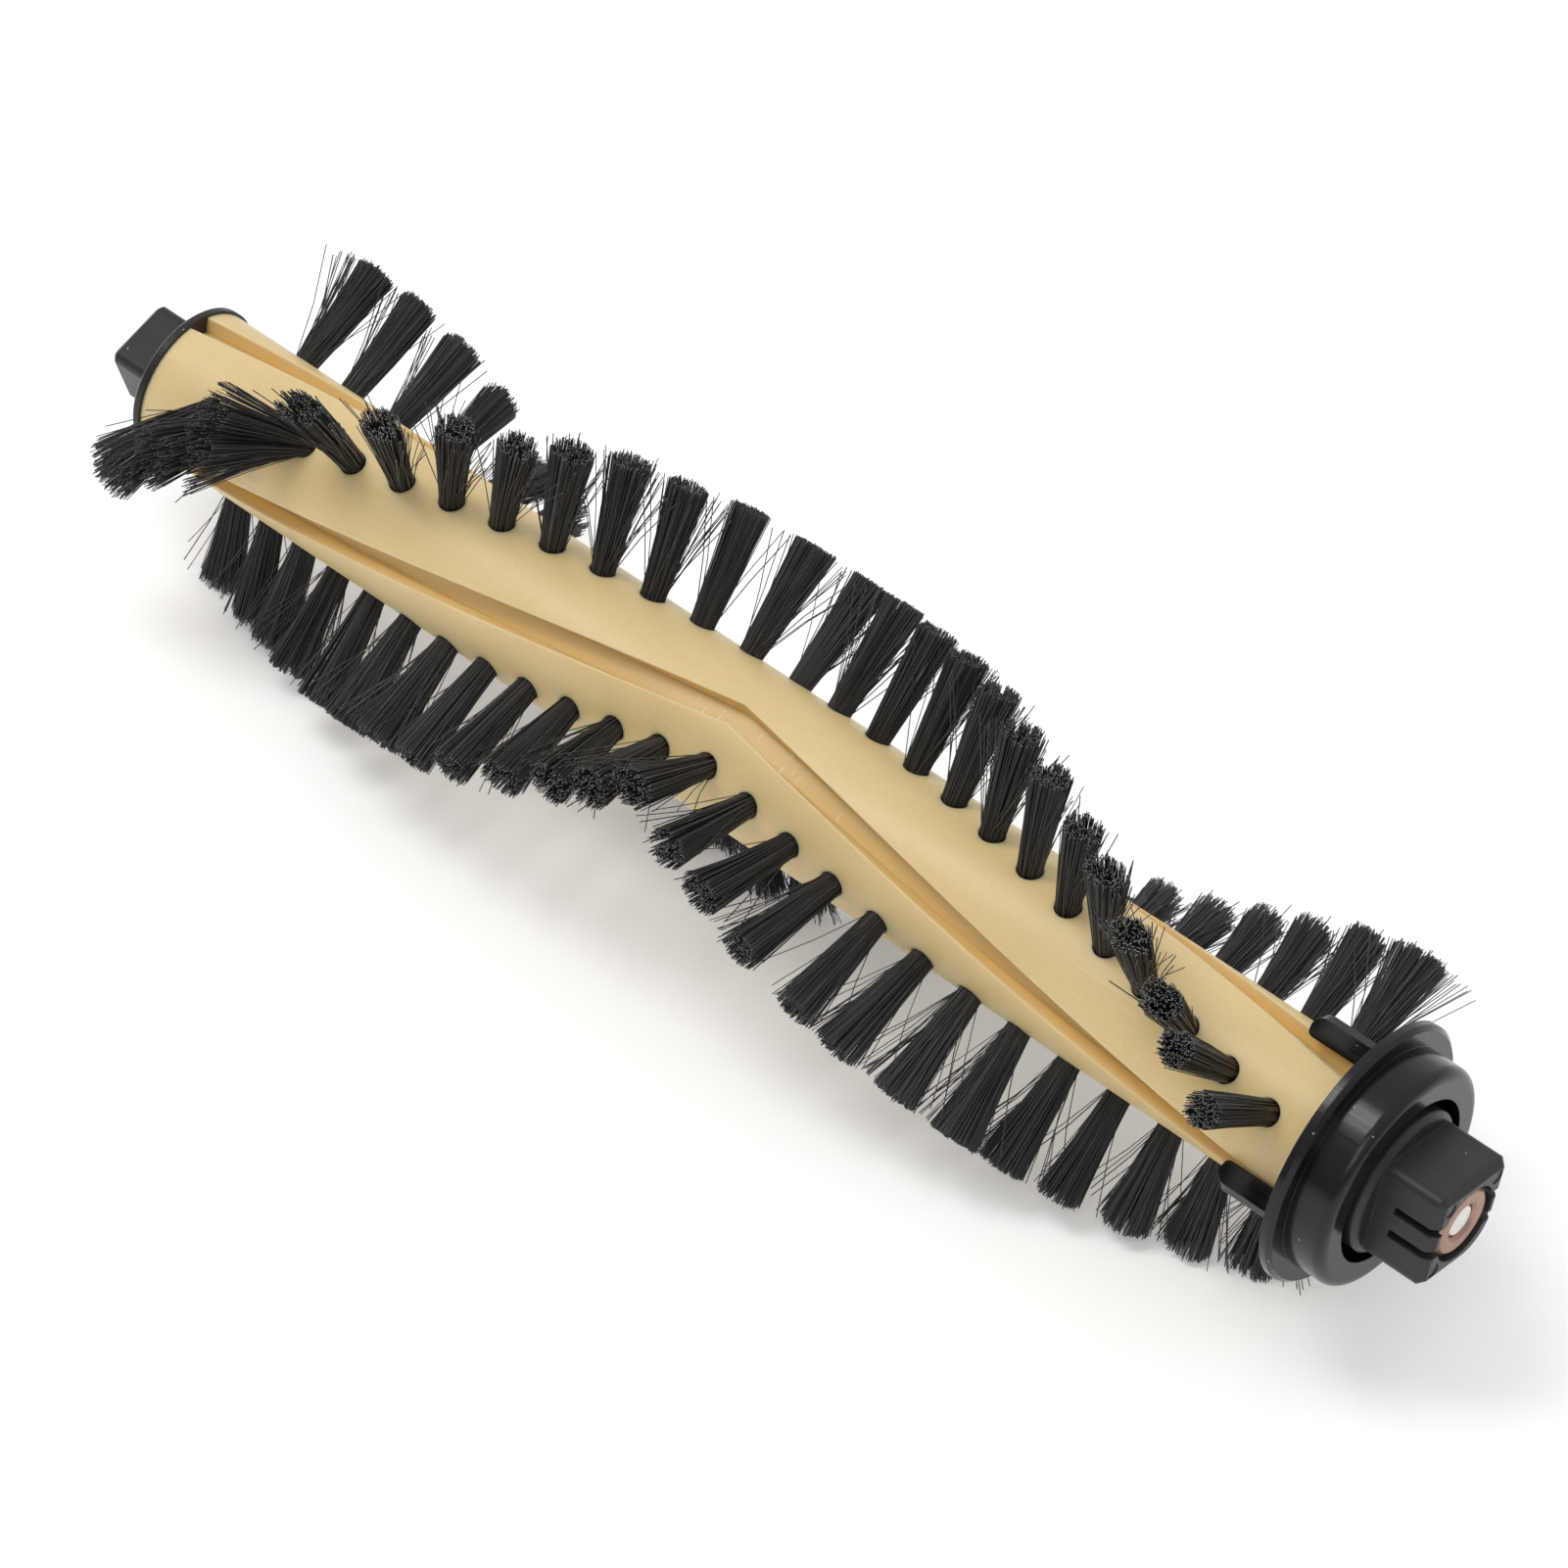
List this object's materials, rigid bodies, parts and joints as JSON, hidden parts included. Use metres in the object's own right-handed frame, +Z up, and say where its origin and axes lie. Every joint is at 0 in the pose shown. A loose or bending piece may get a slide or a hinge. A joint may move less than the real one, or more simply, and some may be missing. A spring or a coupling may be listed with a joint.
{
  "type": "robot vacuum roller brush",
  "caption": "Roller brush with chevron rows of stapled bristle tufts on a grooved core, a square drive peg at one end and a square bearing block that spins on a pin at the other.",
  "frame": {"origin": "on the roller's axis, at the end face of the square drive peg", "axes": "+X along the roller's axis from the drive peg to the bearing, +Z up as the roller lies on its tufts"},
  "size_m": [0.1867, 0.0444, 0.0439],
  "materials": {
    "core_plastic": "moulded beige plastic with a soft satin surface",
    "cap_plastic": "moulded black plastic, satin, with fine handling marks",
    "block_plastic": "moulded black bearing plastic, satin",
    "bush_bronze": "sintered bronze, matt and slightly oily",
    "pin_steel": "ground steel",
    "anchor_steel": "flat anchor wire",
    "bristle": "bundled black filaments with a dull sheen"
  },
  "bodies": {
    "roller": {"roller_core": "core_plastic", "drive_cap": "cap_plastic", "bearing_cap": "cap_plastic", "axle_pin": "pin_steel", "tufts_a_drive": "bristle", "tufts_a_apex": "bristle", "tufts_a_bearing": "bristle", "tufts_b_drive": "bristle", "tufts_b_apex": "bristle", "tufts_b_bearing": "bristle", "tufts_c_drive": "bristle", "tufts_c_apex": "bristle", "tufts_c_bearing": "bristle", "anchors_a_drive": "anchor_steel", "anchors_a_apex": "anchor_steel", "anchors_a_bearing": "anchor_steel", "anchors_b_drive": "anchor_steel", "anchors_b_apex": "anchor_steel", "anchors_b_bearing": "anchor_steel", "anchors_c_drive": "anchor_steel", "anchors_c_apex": "anchor_steel", "anchors_c_bearing": "anchor_steel"},
    "bearing": {"bearing_block": "block_plastic", "bearing_bush": "bush_bronze"}
  },
  "joints": [
    {"name": "bearing_spin", "type": "hinge", "parent": "roller", "child": "bearing", "pos_m": [0.1799, 0, 0], "axis": [1, 0, 0], "continuous": true}
  ]
}
